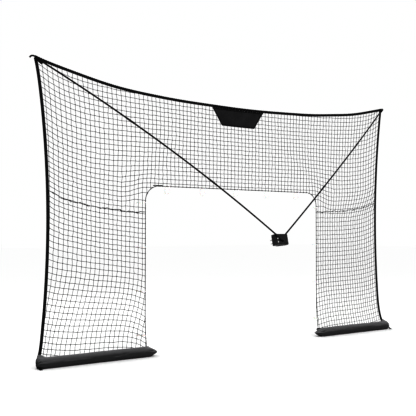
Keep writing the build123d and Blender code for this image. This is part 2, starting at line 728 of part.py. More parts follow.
with BuildPart() as cover_screws:
    with BuildSketch(hub_plane(COVER_BACK)):
        with Locations(*COVER_SCREWS):
            Circle(SCREW_HEAD_RADIUS)
    extrude(amount=SCREW_HEAD_HEIGHT, taper=15)
    with BuildSketch(hub_plane(COVER_BACK)):
        with Locations(*COVER_SCREWS):
            Circle(SCREW_RADIUS)
    extrude(amount=-SCREW_DEPTH)
save(cover_screws.part, "cover_screws")

# each lock screw's point stops just short of its pole; the right one meets it on the slant
point_gap = POLE_RADIUS + LOCK_DEPTH_GAP
slant_gap = point_gap / cos(radians(POLE_RISE)) + LOCK_RADIUS * tan(radians(POLE_RISE))
left_top = BOSS_BACK - LEFT_POLE_DEPTH
right_top = hub_half - hub_plane().to_local_coords(right_lock_seat).Y
for plane, low, top, name in (
    (lock_plane_left, point_gap, left_top, "left_lock_screw"),
    (lock_plane_right, slant_gap, right_top, "right_lock_screw"),
):
    with BuildPart() as lock_screw:
        with BuildSketch(plane.offset(low)):
            Circle(LOCK_RADIUS)
        extrude(amount=top - low)
        with BuildSketch(plane.offset(top)):
            RegularPolygon(LOCK_SOCKET, 6)
        extrude(amount=-2.5, mode=Mode.SUBTRACT)
    save(lock_screw.part, name)

# ---------------------------------------------------------------- cable ties round the goal's tubes
tie_inner = POST_RADIUS + TIE_CLEARANCE
TIE_HEAD = (7.0, 5.0, 8.0)


def tie_loop(plane, cord_point):
    """A tie that hugs a tube at the plane's origin and the net's cord at cord_point."""
    with BuildPart() as tie:
        with BuildSketch(plane):
            Circle(tie_inner + TIE_THICKNESS)
            with Locations(cord_point):
                Circle(CORD_RADIUS + TIE_CORD_ROOM + TIE_THICKNESS)
            make_hull()
        extrude(amount=TIE_WIDTH / 2, both=True)
        with BuildSketch(plane):
            Circle(tie_inner)
            with Locations(cord_point):
                Circle(CORD_RADIUS + TIE_CORD_ROOM)
            make_hull()
        extrude(amount=TIE_WIDTH, both=True, mode=Mode.SUBTRACT)
        outwards = Vector(*cord_point).normalized()
        head_at = outwards * -(tie_inner + TIE_THICKNESS + TIE_HEAD[1] / 2 - 0.4)
        with BuildSketch(plane):
            with Locations((head_at.X, head_at.Y)):
                RectangleRounded(TIE_HEAD[0], TIE_HEAD[0], 1)
        extrude(amount=TIE_HEAD[2] / 2, both=True)
        with BuildSketch(plane):
            Circle(tie_inner)
        extrude(amount=TIE_HEAD[2], both=True, mode=Mode.SUBTRACT)
    return tie.part


cord_across = POST_X - OPENING_HALF_WIDTH
for side, name in ((-1, "left_post_ties"), (1, "right_post_ties")):
    with BuildPart() as post_ties:
        for height in POST_TIE_HEIGHTS:
            level_plane = Plane(origin=(side * POST_X, TUBE_Y, height), x_dir=(1, 0, 0), z_dir=(0, 0, 1))
            cord_y = -TUBE_Y
            if height < BEND_HEIGHT:
                cord_y -= bend_radius - (bend_radius**2 - (BEND_HEIGHT - height) ** 2) ** 0.5
            add(tie_loop(level_plane, (-side * cord_across, cord_y)))
    save(post_ties.part, name)

with BuildPart() as crossbar_ties:
    for x in CROSSBAR_TIE_XS:
        upright_plane = Plane(origin=(x, TUBE_Y, CROSSBAR_HEIGHT), x_dir=(0, 1, 0), z_dir=(1, 0, 0))
        add(tie_loop(upright_plane, (-TUBE_Y, OPENING_HEIGHT - CROSSBAR_HEIGHT)))
save(crossbar_ties.part, "crossbar_ties")
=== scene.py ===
"""Looks for the hockey goal backstop net, in metres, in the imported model's frame."""
import math

import bpy
import numpy as np
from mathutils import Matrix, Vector, noise


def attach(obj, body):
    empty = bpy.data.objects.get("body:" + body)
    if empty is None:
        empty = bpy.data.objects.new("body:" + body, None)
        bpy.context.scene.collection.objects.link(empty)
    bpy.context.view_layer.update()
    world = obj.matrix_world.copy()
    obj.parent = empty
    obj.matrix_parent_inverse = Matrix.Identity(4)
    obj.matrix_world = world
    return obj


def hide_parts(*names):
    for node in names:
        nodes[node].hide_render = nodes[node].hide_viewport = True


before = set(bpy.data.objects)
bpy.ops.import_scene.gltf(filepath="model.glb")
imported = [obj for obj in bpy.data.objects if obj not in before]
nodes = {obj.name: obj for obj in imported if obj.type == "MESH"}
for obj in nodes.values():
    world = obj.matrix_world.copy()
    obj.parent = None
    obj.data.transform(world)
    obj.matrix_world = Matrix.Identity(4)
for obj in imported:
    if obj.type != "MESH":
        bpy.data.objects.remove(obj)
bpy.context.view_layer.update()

ROOT = "net_and_hub"
rng = np.random.default_rng(11)

# ---------------------------------------------------------------- the camera
bpy.context.scene.view_settings.view_transform = "Standard"
bpy.context.scene.view_settings.gamma = 0.52
camera_data = bpy.data.cameras.new("camera")
camera_data.lens = 68.1
camera_data.sensor_width = 36
camera = bpy.data.objects.new("camera", camera_data)
bpy.context.scene.collection.objects.link(camera)
camera.location = (-4.232, -4.975, 0.922)
camera_look = Vector((0.6179, 0.7856, 0.0315))
camera.rotation_mode = "QUATERNION"
camera.rotation_quaternion = camera_look.to_track_quat("-Z", "Y")
bpy.context.scene.camera = camera

# ---------------------------------------------------------------- dimensions, as in the CAD
TOP_CORNER = 1.838
CORNER_HEIGHT = 2.136
TOP_SAG = 0.174
SIDE_POINTS = ((1.838, 2.136), (1.7435, 1.0835), (1.805, 0.020))
LEFT_SEAM = (
    (0.90, 1.074), (1.06, 1.081), (1.25, 1.098), (1.40, 1.117), (1.56, 1.146), (1.63, 1.170),
    (1.69, 1.198), (1.76, 1.232), (1.84, 1.270),
)
RIGHT_SEAM = (
    (0.90, 1.110), (1.20, 1.119), (1.40, 1.135), (1.60, 1.169), (1.70, 1.197), (1.84, 1.250),
)
TOP_DROOPS = ((0.021, -1.16, 0.37), (0.008, -0.66, 0.30), (0.015, 1.42, 0.28), (0.009, 0.95, 0.30))
BORDER = 0.022
OPEN_X = 0.922
OPEN_TOP = 1.280
OPEN_CORNER = 0.120
BEND_HEIGHT = 0.300
REST_Y = -0.0194
REST_Z = 0.0609
BEND_RADIUS = 1.4830
REST_ANGLE = math.radians(40)
CELL = 0.038
TWINE = 0.00148
SLEEVE_Y = -0.055
SLEEVE_AXIS = 0.031
SLEEVE_RADIUS = 0.044
SAND_AXIS = 0.038
HEM_REACH = 0.0466  # where the cover is drawn out to the hem that holds it to the net
SAND_CLEAR = 0.0364  # the cover's least distance from the sand bag's axis


def circle_through(a, b, c):
    """Centre and radius of the circle through three points of the plane."""
    (ax, ay), (bx, by), (cx, cy) = a, b, c
    d = 2 * (ax * (by - cy) + bx * (cy - ay) + cx * (ay - by))
    aa, bb, cc = ax * ax + ay * ay, bx * bx + by * by, cx * cx + cy * cy
    x = (aa * (by - cy) + bb * (cy - ay) + cc * (ay - by)) / d
    y = (aa * (cx - bx) + bb * (ax - cx) + cc * (bx - ax)) / d
    return x, y, math.hypot(ax - x, ay - y)


top_circle = circle_through(
    (-TOP_CORNER, CORNER_HEIGHT), (0, CORNER_HEIGHT - TOP_SAG), (TOP_CORNER, CORNER_HEIGHT)
)
side_circle = circle_through(*SIDE_POINTS)


def top_z(x):
    """Height of the top outline at x: an arc with gentle droops, raised at its left end."""
    cx, cz, r = top_circle
    droop = sum(deep * np.exp(-(((x - at) / wide) ** 2)) for deep, at, wide in TOP_DROOPS)
    rise = 0.013 * np.exp(-np.abs(x + TOP_CORNER) / 0.09)
    return cz - np.sqrt(r * r - (x - cx) ** 2) - droop + rise


def side_x(z):
    """Distance of the side outline from the middle, at height z."""
    cx, cz, r = side_circle
    return cx - np.sqrt(r * r - (z - cz) ** 2)


def seam_z(x):
    """Height of the laced seam at x."""
    left, right = np.array(LEFT_SEAM), np.array(RIGHT_SEAM)
    on_left = np.interp(-np.asarray(x), left[:, 0], left[:, 1])
    on_right = np.interp(x, right[:, 0], right[:, 1])
    return np.where(np.asarray(x) < 0, on_left, on_right)


def back_y(z):
    """How far behind the upright plane the net hangs at height z."""
    drop = np.clip(BEND_HEIGHT - z, 0, BEND_RADIUS * 0.99)
    return np.sqrt(BEND_RADIUS**2 - drop**2) - BEND_RADIUS


def opening_distance(x, z):
    """Distance outside the goal opening's rounded outline; negative inside it."""
    across = np.abs(x) - (OPEN_X - OPEN_CORNER)
    above = z - (OPEN_TOP - OPEN_CORNER)
    corner = np.hypot(np.maximum(across, 0), np.maximum(above, 0))
    return corner + np.minimum(np.maximum(across, above), 0) - OPEN_CORNER


def smooth(value, low, high):
    """0 below low, 1 above high, and smooth between them."""
    t = np.clip((value - low) / (high - low), 0, 1)
    return t * t * (3 - 2 * t)


# ---------------------------------------------------------------- mesh building
def unit(v):
    """Rows of v, each scaled to length one."""
    return v / np.maximum(np.linalg.norm(v, axis=-1, keepdims=True), 1e-12)


def ring(radius, sides, across=1.0, deep=1.0):
    """A round or oval section, anticlockwise."""
    angle = np.arange(sides) * 2 * math.pi / sides
    return np.stack([np.cos(angle) * radius * across, np.sin(angle) * radius * deep], 1)


def strap_section(width, thick, groove=0.0):
    """A strap's section with soft edges, and a shallow groove along each face."""
    w, t = width / 2, thick / 2
    e = min(t, w) * 0.55
    g = t - groove
    return np.array([
        (w, 0), (w - e * 0.35, t - e * 0.35), (w - e, t), (w * 0.2, t), (0, g), (-w * 0.2, t),
        (-w + e, t), (-w + e * 0.35, t - e * 0.35), (-w, 0), (-w + e * 0.35, -t + e * 0.35),
        (-w + e, -t), (-w * 0.2, -t), (0, -g), (w * 0.2, -t), (w - e, -t),
        (w - e * 0.35, -t + e * 0.35),
    ])


def resample(path, step):
    """The path as points about one step apart."""
    path = np.asarray(path, float)
    lengths = np.concatenate([[0], np.cumsum(np.linalg.norm(np.diff(path, axis=0), axis=1))])
    count = max(2, int(round(lengths[-1] / step)) + 1)
    at = np.linspace(0, lengths[-1], count)
    return np.stack([np.interp(at, lengths, path[:, k]) for k in range(3)], 1)


def frames(path, normal=None, closed=False):
    """Side, face and tangent vectors along a path. normal is the way the face looks."""
    if closed:
        tangent = unit(np.roll(path, -1, 0) - np.roll(path, 1, 0))
    else:
        tangent = unit(np.gradient(path, axis=0))
    if normal is not None:
        face = np.broadcast_to(np.asarray(normal, float), path.shape)
        face = unit(face - tangent * np.sum(face * tangent, 1, keepdims=True))
    else:
        face = np.empty_like(path)
        start = np.eye(3)[np.argmin(np.abs(tangent[0]))]
        for i in range(len(path)):
            start = start - tangent[i] * start.dot(tangent[i])
            start = start / np.linalg.norm(start)
            face[i] = start
    return np.cross(face, tangent), face, tangent


class Shape:
    """Faces gathered for one mesh object."""

    def __init__(self):
        self.points = []
        self.faces = []
        self.uvs = []
        self.count = 0

    def add(self, points, groups):
        """Add points, and groups of (faces, uvs) that use them."""
        self.points.append(np.asarray(points, float))
        for faces, uvs in groups:
            self.faces.append(np.asarray(faces, int) + self.count)
            self.uvs.append(np.asarray(uvs, float))
        self.count += len(points)

    def sweep(self, path, section, normal=None, closed=False, scale=None):
        """Carry a section along a path. scale is a size for each point of the path."""
        path = np.asarray(path, float)
        n, m = len(path), len(section)
        side, face, _ = frames(path, normal, closed)
        size = np.ones(n) if scale is None else np.asarray(scale, float)
        across = section[None, :, 0, None] * size[:, None, None]
        deep = section[None, :, 1, None] * size[:, None, None]
        points = path[:, None] + side[:, None] * across + face[:, None] * deep
        points = points.reshape(-1, 3)
        around = np.linalg.norm(np.roll(section, -1, 0) - section, axis=1)
        u = np.concatenate([[0], np.cumsum(around)])
        steps = np.linalg.norm(np.roll(path, -1, 0) - path, axis=1)
        v = np.concatenate([[0], np.cumsum(steps)])
        rows = n if closed else n - 1
        i, k = np.meshgrid(np.arange(rows), np.arange(m), indexing="ij")
        i, k = i.ravel(), k.ravel()
        nxt, kk = (i + 1) % n, (k + 1) % m
        quads = np.stack([i * m + k, i * m + kk, nxt * m + kk, nxt * m + k], 1)
        quad_uv = np.stack([
            np.stack([u[k], v[i]], 1), np.stack([u[k + 1], v[i]], 1),
            np.stack([u[k + 1], v[i + 1]], 1), np.stack([u[k], v[i + 1]], 1),
        ], 1)
        groups = [(quads, quad_uv)]
        if not closed:
            points = np.vstack([points, path[:1], path[-1:]])
            k = np.arange(m)
            kk = (k + 1) % m
            last = (n - 1) * m
            start = np.stack([np.full(m, n * m), kk, k], 1)
            end = np.stack([np.full(m, n * m + 1), last + k, last + kk], 1)
            flat_uv = np.stack([
                np.zeros((m, 2)), np.stack([u[k], np.zeros(m)], 1),
                np.stack([u[k + 1], np.zeros(m)], 1),
            ], 1)
            groups += [(start, flat_uv), (end, flat_uv)]
        self.add(points, groups)

    def copies(self, other, places, turns, sizes):
        """Copies of another shape at places, each turned by a 3 by 3 matrix and scaled."""
        base = np.concatenate(other.points)
        placed = np.einsum("nij,mj->nmi", turns * sizes[:, None, None], base) + places[:, None]
        n, m = placed.shape[:2]
        offset = (np.arange(n) * m)[:, None, None]
        groups = []
        for faces, uvs in zip(other.faces, other.uvs):
            many = (faces[None] + offset).reshape(-1, faces.shape[1])
            groups.append(
                (many, np.broadcast_to(uvs, (n,) + uvs.shape).reshape(-1, *uvs.shape[1:]))
            )
        self.add(placed.reshape(-1, 3), groups)

    def make(self, name, material, slot, body=ROOT, replaces=(), sharp=None):
        """The gathered faces as one piece. sharp is the angle where its shading breaks."""
        mesh = bpy.data.meshes.new(name)
        faces = [row for group in self.faces for row in group.tolist()]
        mesh.from_pydata(np.concatenate(self.points).tolist(), [], faces)
        uvs = np.concatenate([group.reshape(-1, 2) for group in self.uvs])
        layer = mesh.uv_layers.new(name="UVMap")
        layer.data.foreach_set("uv", uvs.astype(np.float32).ravel())
        mesh.polygons.foreach_set("use_smooth", [True] * len(faces))
        if sharp:
            mesh.set_sharp_from_angle(angle=math.radians(sharp))
        mesh.update()
        return place(mesh, name, material, body, replaces)


def place(mesh, name, material, body=ROOT, replaces=()):
    """An object for a mesh, with its material and body."""
    piece = bpy.data.objects.new(name, mesh)
    bpy.context.scene.collection.objects.link(piece)
    mesh.materials.clear()
    mesh.materials.append(material)
    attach(piece, body)
    if replaces:
        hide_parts(*replaces)
    return piece


STITCH_ARCH = (-0.6, 0.6, 0.9, 0.6, -0.6)  # a stitch's height along it, in thread radii
STITCH_STEP = 6  # points from one stitch to the next
ROPE_STRANDS = 3


def stitches(shape, path, normal, pitch, radius, lift):
    """A row of raised stitches along a path, on the face that normal looks from."""
    line = resample(path, pitch / STITCH_STEP)
    _, face, _ = frames(line, normal)
    line = line + face * lift
    arch = np.array(STITCH_ARCH)[:, None] * radius
    length = len(arch)
    section = ring(radius, 5)
    for start in range(0, len(line) - length, STITCH_STEP):
        stop = start + length
        shape.sweep(line[start:stop] + face[start:stop] * arch, section, normal)


def rope(shape, path, strand, offset, pitch, steps=9):
    """A laid rope: strands of a radius, wound at an offset from the path."""
    line = resample(path, pitch / steps)
    side, face, _ = frames(line)
    along = np.arange(len(line)) * 2 * math.pi / steps
    section = ring(strand, 6)
    for k in range(ROPE_STRANDS):
        angle = (along + k * 2 * math.pi / ROPE_STRANDS)[:, None]
        shape.sweep(line + (side * np.cos(angle) + face * np.sin(angle)) * offset, section, face)


# ---------------------------------------------------------------- materials
def new_material(name, colour, rough, metal=0.0, **sockets):
    """A Principled material with constants on its sockets, and its node tree and shader."""
    material = bpy.data.materials.new(name)
    material.use_nodes = True
    tree = material.node_tree
    shader = tree.nodes["Principled BSDF"]
    shader.inputs["Base Color"].default_value = (*colour, 1)
    shader.inputs["Roughness"].default_value = rough
    shader.inputs["Metallic"].default_value = metal
    for socket, value in sockets.items():
        shader.inputs[socket.replace("_", " ")].default_value = value
    return material, tree, shader


def node(tree, kind, operation=None, values=(), **links):
    """A shader node with values by position and links. A link named i2 goes to socket 2."""
    made = tree.nodes.new("ShaderNode" + kind)
    if operation:
        made.operation = operation
    for index, value in values:
        made.inputs[index].default_value = value
    for where, output in links.items():
        by_place = where[0] == "i" and where[1:].isdigit()
        index = int(where[1:]) if by_place else where.replace("_", " ")
        tree.links.new(output, made.inputs[index])
    return made


def coordinates(tree, kind="Object"):
    """The object's own coordinates, or its UV map, in metres."""
    return tree.nodes.new("ShaderNodeTexCoord").outputs[kind]


def colour_between(tree, shader, factor, first, second):
    """Base colour that follows a factor from a first colour to a second."""
    mix = tree.nodes.new("ShaderNodeMix")
    mix.data_type = "RGBA"
    mix.inputs[6].default_value = (*first, 1)
    mix.inputs[7].default_value = (*second, 1)
    tree.links.new(factor, mix.inputs[0])
    tree.links.new(mix.outputs[2], shader.inputs["Base Color"])


def vary(tree, shader, where, dark, light, scale):
    """Colour that drifts between dark and light; gives the noise, of a scale per metre."""
    cloud = node(tree, "TexNoise", values=((2, scale), (3, 4.0)), Vector=where).outputs["Fac"]
    blend = node(tree, "MapRange", values=((1, 0.35), (2, 0.65)), Value=cloud)
    colour_between(tree, shader, blend.outputs[0], dark, light)
    return cloud


def rough_between(tree, shader, factor, low, high):
    """Roughness that follows a factor from low to high."""
    spread = node(tree, "MapRange", values=((3, low), (4, high)), Value=factor)
    tree.links.new(spread.outputs[0], shader.inputs["Roughness"])


def bump(tree, shader, heights):
    """Bumps from (height output, distance in metres, strength), one laid over the other."""
    below = None
    for height, distance, strength in heights:
        made = tree.nodes.new("ShaderNodeBump")
        made.inputs["Strength"].default_value = strength
        made.inputs["Distance"].default_value = distance
        tree.links.new(height, made.inputs["Height"])
        if below:
            tree.links.new(below, made.inputs["Normal"])
        below = made.outputs[0]
    tree.links.new(below, shader.inputs["Normal"])


def wave(tree, where, direction):
    """A sine along a direction whose length is the number of waves per metre."""
    angle = tuple(2 * math.pi * d for d in direction)
    dot = node(tree, "VectorMath", "DOT_PRODUCT", ((1, angle),), i0=where)
    return node(tree, "Math", "SINE", i0=dot.outputs["Value"]).outputs[0]


def weave(tree, where, one, other):
    """A plain weave's height, from its two thread directions in waves per metre."""
    first = wave(tree, where, one)
    second = wave(tree, where, other)
    return node(tree, "Math", "MULTIPLY", i0=first, i1=second).outputs[0]


def twine_material(name, dark, light, plies, pitch, around, rough):
    """Twisted twine: ridges that wind round it, and tone that drifts at random."""
    material, tree, shader = new_material(name, dark, rough, Specular_IOR_Level=0.15)
    uv = coordinates(tree, "UV")
    twist = wave(tree, uv, (plies / around, 1 / pitch, 0))
    fibre = wave(tree, uv, (7 * plies / around, 3 / pitch, 0))
    cloud = vary(tree, shader, coordinates(tree), dark, light, 60)
    bump(tree, shader, [(twist, 0.0004, 0.7), (fibre, 0.0001, 0.5)])
    rough_between(tree, shader, cloud, rough - 0.12, rough + 0.15)
    return material


def cloth_material(
    name, dark, light, thread, rough, directions=((1, 0, 0), (0, 0, 1)), specular=0.15
):
    """Woven cloth with threads of a width, in two directions of its own coordinates."""
    material, tree, shader = new_material(name, dark, rough, Specular_IOR_Level=specular)
    per_metre = 0.5 / thread
    one, other = (tuple(c * per_metre for c in direction) for direction in directions)
    threads = weave(tree, coordinates(tree), one, other)
    cloud = vary(tree, shader, coordinates(tree), dark, light, 9)
    fuzz = node(tree, "TexNoise", values=((2, 1400.0), (3, 3.0)), Vector=coordinates(tree))
    bump(tree, shader, [(threads, thread * 0.35, 0.55), (fuzz.outputs["Fac"], 0.0002, 0.35)])
    rough_between(tree, shader, cloud, rough - 0.08, rough + 0.12)
    return material


def paint_top_highlight(material, below, above):
    """Paint a lighter colour over the faces that look up: a painted highlight on their tops."""
    tree = material.node_tree
    shader = tree.nodes["Principled BSDF"]
    parts = node(tree, "SeparateXYZ", Vector=coordinates(tree, "Normal"))
    # noise that makes the painted highlight patchy
    highlight_patches = node(tree, "TexNoise", values=((2, 22.0), (3, 5.0)), Vector=coordinates(tree))
    uneven = node(tree, "MapRange", values=((3, -0.10), (4, 0.10)), Value=highlight_patches.outputs["Fac"])
    upward = node(tree, "Math", "ADD", i0=parts.outputs["Z"], i1=uneven.outputs[0])
    amount = node(tree, "MapRange", values=((1, 0.15), (2, 1.0)), Value=upward.outputs[0])
    colour_between(tree, shader, amount.outputs[0], below, above)


def webbing_material(name, dark, light, rib, rough):
    """Ribbed webbing, from a UV map in metres: u across the strap and v along it."""
    material, tree, shader = new_material(name, dark, rough, Specular_IOR_Level=0.15)
    uv = coordinates(tree, "UV")
    ribs = wave(tree, uv, (1 / (2 * rib), 1 / rib, 0))
    yarns = wave(tree, uv, (1 / (1.4 * rib), -1 / (4 * rib), 0))
    cloud = vary(tree, shader, coordinates(tree), dark, light, 14)
    bump(tree, shader, [(ribs, 0.0003, 0.6), (yarns, 0.0002, 0.5)])
    rough_between(tree, shader, cloud, rough - 0.1, rough + 0.1)
    return material


def hard_material(
    name, dark, light, rough, metal=0.0, scale=40.0, grain=900.0, depth=0.00006, **sockets
):
    """A moulded or metal surface: drifting tone, fine grain and uneven polish."""
    material, tree, shader = new_material(name, dark, rough, metal, **sockets)
    where = coordinates(tree)
    cloud = vary(tree, shader, where, dark, light, scale)
    fine = node(tree, "TexNoise", values=((2, grain), (3, 3.0)), Vector=where)
    bump(tree, shader, [(fine.outputs["Fac"], depth, 0.5)])
    rough_between(tree, shader, cloud, rough - 0.08, rough + 0.1)
    return material


def streaked_material(name, dark, light, rough, metal, along, across, depth, **sockets):
    """A drawn surface whose streaks run along the part."""
    material, tree, shader = new_material(name, dark, rough, metal, **sockets)
    stretched = node(tree, "VectorMath", "MULTIPLY", ((1, along),), i0=coordinates(tree))
    cloud = vary(tree, shader, stretched.outputs[0], dark, light, across)
    bump(tree, shader, [(cloud, depth, 0.5)])
    rough_between(tree, shader, cloud, rough - 0.08, rough + 0.12)
    return material


TWINE_BLACK = (0.008, 0.008, 0.0085)
TWINE_WORN = (0.018, 0.018, 0.019)
WEBBING_BLACK = (0.012, 0.012, 0.0125)
twine = twine_material("net_twine", TWINE_BLACK, TWINE_WORN, 2, 0.010, 0.0096, 0.55)
lace_twine = twine_material(
    "lace_twine", TWINE_BLACK, (0.016, 0.016, 0.017), 2, 0.008, 0.0100, 0.5
)
rope_twine = twine_material("rope_strand", TWINE_BLACK, TWINE_WORN, 5, 0.010, 0.0080, 0.5)
webbing = webbing_material("edge_webbing", WEBBING_BLACK, (0.022, 0.022, 0.023), 0.0022, 0.5)
thread = twine_material(
    "stitching", (0.05, 0.05, 0.053), (0.10, 0.10, 0.105), 2, 0.002, 0.0022, 0.45
)
patch_cloth = cloth_material(
    "patch_fabric", (0.034, 0.034, 0.035), (0.050, 0.050, 0.052), 0.0009, 0.5
)
sleeve_cloth = cloth_material(
    "sleeve_fabric", (0.045, 0.045, 0.047), (0.062, 0.062, 0.065), 0.0010, 0.42,
    ((1, 0, 0), (0, 0.7, 0.7)), 0.35,
)
# the sleeves' tops get a painted highlight, lighter where the faces look up
paint_top_highlight(sleeve_cloth, (0.055, 0.055, 0.057), (0.24, 0.24, 0.245))
corner_cloth = cloth_material("corner_cloth", WEBBING_BLACK, (0.020, 0.020, 0.021), 0.0009, 0.6)
canvas = cloth_material("sand_canvas", (0.10, 0.09, 0.075), (0.17, 0.155, 0.13), 0.0012, 0.8)
fibreglass = streaked_material(
    "pole_fibreglass", (0.007, 0.007, 0.0075), (0.014, 0.014, 0.015), 0.35, 0.0,
    (0.25, 1.0, 0.35), 260.0, 0.00005, Specular_IOR_Level=0.2,
)
ferrule_metal = streaked_material(
    "ferrule_metal", (0.012, 0.012, 0.013), (0.030, 0.030, 0.032), 0.36, 0.8,
    (1.0, 1.0, 0.2), 500.0, 0.00002,
)
tip_rubber = hard_material(
    "tip_rubber", (0.010, 0.010, 0.010), (0.022, 0.021, 0.021), 0.72, depth=0.00012
)
hub_plastic = hard_material(
    "hub_plastic", (0.010, 0.010, 0.0105), (0.018, 0.018, 0.019), 0.34, grain=1600.0, depth=0.0001,
    Specular_IOR_Level=0.45,
)
liner_rubber = hard_material(
    "liner_rubber", (0.014, 0.013, 0.013), (0.028, 0.027, 0.026), 0.8, depth=0.00015
)
zinc = hard_material(
    "zinc_steel", (0.42, 0.42, 0.41), (0.62, 0.62, 0.61), 0.30, 1.0, 120.0, 700.0, 0.00004
)
black_steel = hard_material(
    "black_steel", (0.035, 0.035, 0.037), (0.075, 0.075, 0.078), 0.36, 1.0, 150.0
)
nylon = hard_material(
    "tie_nylon", (0.90, 0.89, 0.87), (0.95, 0.945, 0.93), 0.42, 0.0, 60.0, 1200.0,
    Subsurface_Weight=0.15,
)
nylon.node_tree.nodes["Principled BSDF"].inputs["Subsurface Scale"].default_value = 0.002

NODE_MATERIALS = {
    "sand_bag": canvas, "pole_lower": fibreglass, "pole_middle": fibreglass,
    "pole_upper": fibreglass, "pole_ferrules": ferrule_metal, "pole_tip": tip_rubber,
    "hub_body": hub_plastic, "hub_cover": hub_plastic, "hub_jaw": hub_plastic,
    "hub_liner": liner_rubber, "jaw_liner": liner_rubber, "hinge_pin": black_steel,
    "clamp_bolts": zinc, "clamp_washers": zinc, "wing_nut": zinc, "cover_screws": black_steel,
    "lock_screw": black_steel, "post_ties": nylon, "crossbar_ties": nylon,
}
for name, cad in nodes.items():
    for ending, material in NODE_MATERIALS.items():
        if name.endswith(ending):
            cad.data.materials.clear()
            cad.data.materials.append(material)

# ---------------------------------------------------------------- the mesh panels
COLUMNS = np.arange(-52, 53) * CELL
ROWS = np.arange(1, 60) * CELL + 0.012
ZIGZAG = 0.0014
knot_jitter = rng.normal(0, 0.0011, (len(ROWS), len(COLUMNS), 3)) * (1, 0.8, 1)
row_sag = rng.normal(0.0006, 0.0006, (len(ROWS), len(COLUMNS)))
column_sway = rng.normal(0, 0.0007, (len(ROWS), len(COLUMNS)))
every_other = (np.add.outer(np.arange(len(ROWS)), np.arange(len(COLUMNS))) % 2) * 2 - 1
knot_jitter[:, :, 0] += every_other * ZIGZAG


def mesh_position(u, v):
    """Where the point u across and v up the unhung mesh hangs."""
    side = np.sign(u)
    out = np.abs(u)
    lower = 1.28 - (1.28 - v) * np.where(side < 0, 0.975, 1.02)
    low = np.where(v < 1.28, lower, v)
    spread = smooth(low, 1.30, 1.65)
    beside = smooth(out, 0.90 - 0.30 * spread, 1.15 + 0.40 * spread)
    beside = np.maximum(beside, smooth(-low, -1.26, -1.12))
    low = low - 0.055 * beside * (1 - smooth(low, 1.28, 2.00))
    low = low - 0.075 * np.clip((v - 1.28) / 0.68, 0, 1) * (1 - (out / 1.95) ** 2)
    bow = TOP_CORNER - side_x(np.clip(low, 0, 2.14))
    start = 0.92 - 0.5 * smooth(low, 1.2, 1.8)
    widen = np.where(side < 0, 1.07, 1.05 - 0.12 * smooth(-low, -1.30, -1.00))
    x = np.where(out > OPEN_X, OPEN_X + (out - OPEN_X) * widen, out)
    x = x - bow * np.clip((out - start) / (TOP_CORNER - start), 0, 1)
    lean = smooth(-low, -0.65, 0.02) * smooth(-out, -1.95, -1.50) * np.where(side < 0, 0.115, 0.03)
    x = x + lean
    edge = np.maximum(side_x(np.clip(low, 0, 2.14)) - x, 0)
    strength = np.where(side < 0, 1.0, 0.9)
    z = low + strength * (0.055 + 0.065 * smooth(low, 0.2, 1.1)) * np.exp(-edge / 0.19)
    slope = np.interp(low, (0.12, 0.40, 0.75, 1.15, 1.6), (-0.03, 0.04, 0.10, 0.065, 0.0))
    z = z + slope * np.where(side < 0, 1.0, 0.0) * np.clip(x - OPEN_X, 0, 0.6)
    droop = np.exp(-np.clip(x - OPEN_X, 0, 2) / 0.11) * smooth(-low, -0.85, -0.20)
    z = z - np.where(side < 0, 0.085, 0.030) * droop
    x = side * x
    billow = 0.006 * np.sin(2.3 * x + 0.8) * np.sin(3.1 * z + 0.4)
    billow = billow + 0.003 * np.sin(7 * x) * np.sin(6 * z)
    calm = smooth(opening_distance(x, z), 0.0, 0.25)
    calm = calm * smooth(top_z(np.clip(x, -1.9, 1.9)) - z, 0, 0.3)
    calm = calm * smooth(side_x(np.clip(z, 0, 2.14)) - np.abs(x), 0, 0.25) * smooth(z, 0.3, 0.5)
    return np.stack([x, back_y(z) + billow * calm, z], -1)


def inside(point, panel):
    """Whether a point is within a panel: upper, left or right."""
    x, _, z = point
    if abs(x) > TOP_CORNER or z < REST_Z or z > CORNER_HEIGHT:
        return False
    if z > top_z(x) - BORDER / 2 or abs(x) > side_x(z) - BORDER / 2:
        return False
    if opening_distance(x, z) < 0.0012:
        return False
    above_seam = abs(x) < OPEN_X or z > seam_z(x)
    if panel == "upper":
        return above_seam
    return not above_seam and (x < 0) == (panel == "left")


def edge_point(within, without, panel):
    """The panel's edge on the line from a point within it to one outside it."""
    for _ in range(12):
        middle = (within + without) / 2
        if inside(middle, panel):
            within = middle
        else:
            without = middle
    return within


def runs(points, panel):
    """The stretches of a strand that lie within a panel, cut at its edges."""
    found, current = [], []
    flags = [inside(p, panel) for p in points]
    for i, flag in enumerate(flags):
        if flag:
            if not current and i > 0:
                current.append(edge_point(points[i], points[i - 1], panel))
            current.append(points[i])
        elif current:
            current.append(edge_point(points[i - 1], points[i], panel))
            found.append(np.array(current))
            current = []
    if len(current) > 1:
        found.append(np.array(current))
    return [drop_close(run) for run in found if len(run) > 1]


def drop_close(run):
    """The run without its second or last but one point, where that crowds the end."""
    if len(run) > 2 and np.linalg.norm(run[1] - run[0]) < 0.002:
        run = np.delete(run, 1, 0)
    if len(run) > 2 and np.linalg.norm(run[-1] - run[-2]) < 0.002:
        run = np.delete(run, -2, 0)
    return run


grid_u, grid_v = np.meshgrid(COLUMNS, ROWS)
knots = mesh_position(grid_u, grid_v) + knot_jitter

knot_shape = Shape()
turn = np.linspace(-1, 1, 4)[:, None]
for slope, bulge in ((1, 1), (-1, -1)):
    arc = np.hstack([turn * 0.0022, bulge * (0.0018 - 0.0019 * turn**2), turn * 0.0021 * slope])
    knot_shape.sweep(arc, ring(0.0011, 5), (0, 1, 0))


def half_steps(line, middles):
    """A line of knots with the point halfway along each cord put in."""
    out = np.empty((2 * len(line) - 1, 3))
    out[::2] = line
    out[1::2] = middles
    return out


